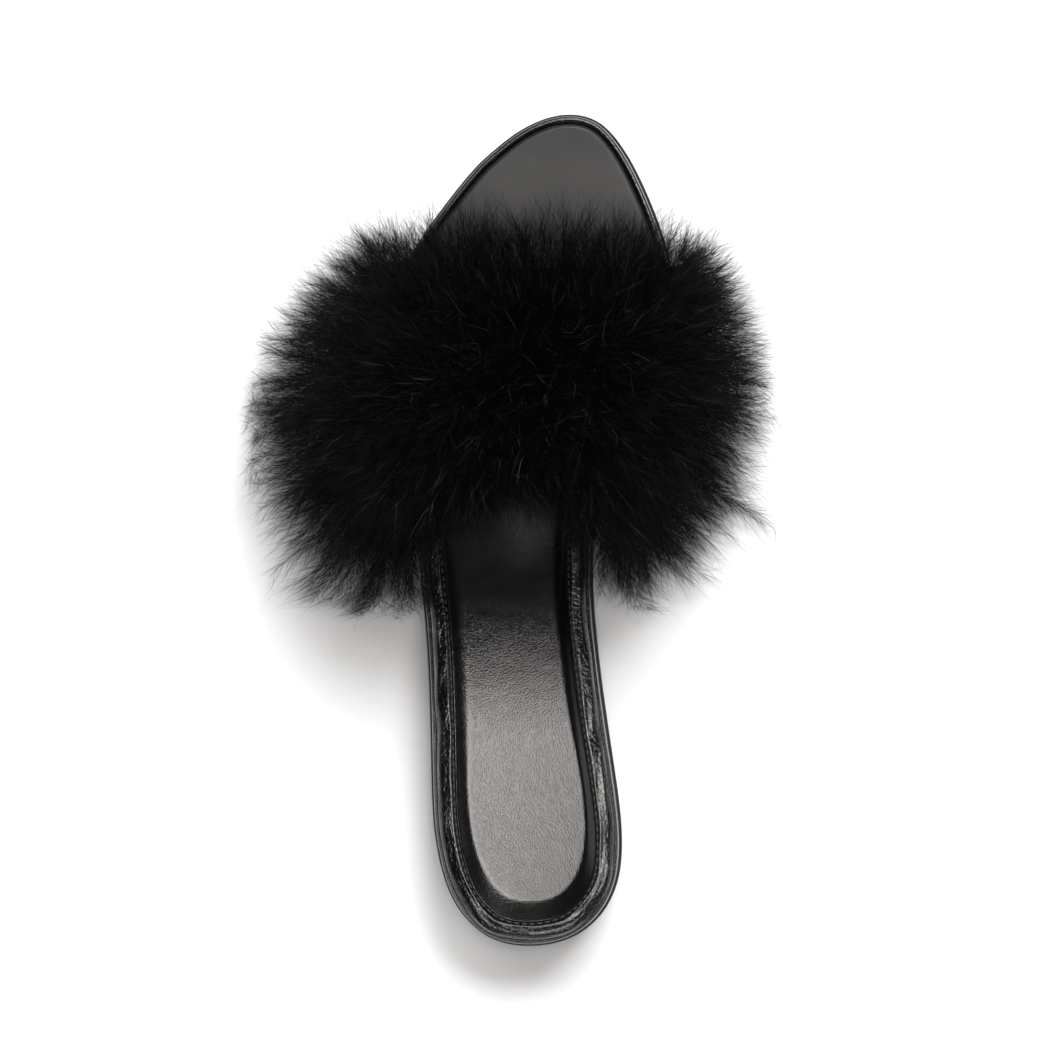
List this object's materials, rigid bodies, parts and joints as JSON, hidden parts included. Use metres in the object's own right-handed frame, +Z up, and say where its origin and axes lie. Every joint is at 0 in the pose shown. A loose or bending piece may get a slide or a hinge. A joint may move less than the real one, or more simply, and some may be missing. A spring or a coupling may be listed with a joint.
{
  "type": "marabou slipper",
  "caption": "Flat left marabou slipper: a backless leather slide with an almond toe, a stitched footbed edge, a low heel and a vamp band under a deep black feather trim.",
  "frame": {"origin": "middle of the heel's ground face, on the floor", "axes": "+Y from the heel to the toe, +X from the lateral to the medial side of this left shoe, +Z up"},
  "size_m": [0.1643, 0.248, 0.0782],
  "materials": {
    "sole_leather": "smooth black sole leather with a satin edge",
    "heel_rubber": "matt black rubber",
    "footbed_board": "dark board and foam core, hidden in the finished shoe",
    "binding_leather": "soft glossy black leather, finely creased",
    "sock_leather": "fine-grained soft black leather with a broad sheen",
    "band_leather": "smooth black leather",
    "marabou": "black marabou down, soft and fluffy"
  },
  "bodies": {
    "root": {"outsole": "sole_leather", "heel_block": "sole_leather", "heel_top_piece": "heel_rubber", "footbed": "footbed_board", "edge_binding": "binding_leather", "insole_sock": "sock_leather", "vamp_band": "band_leather", "marabou_trim": "marabou"}
  },
  "joints": []
}
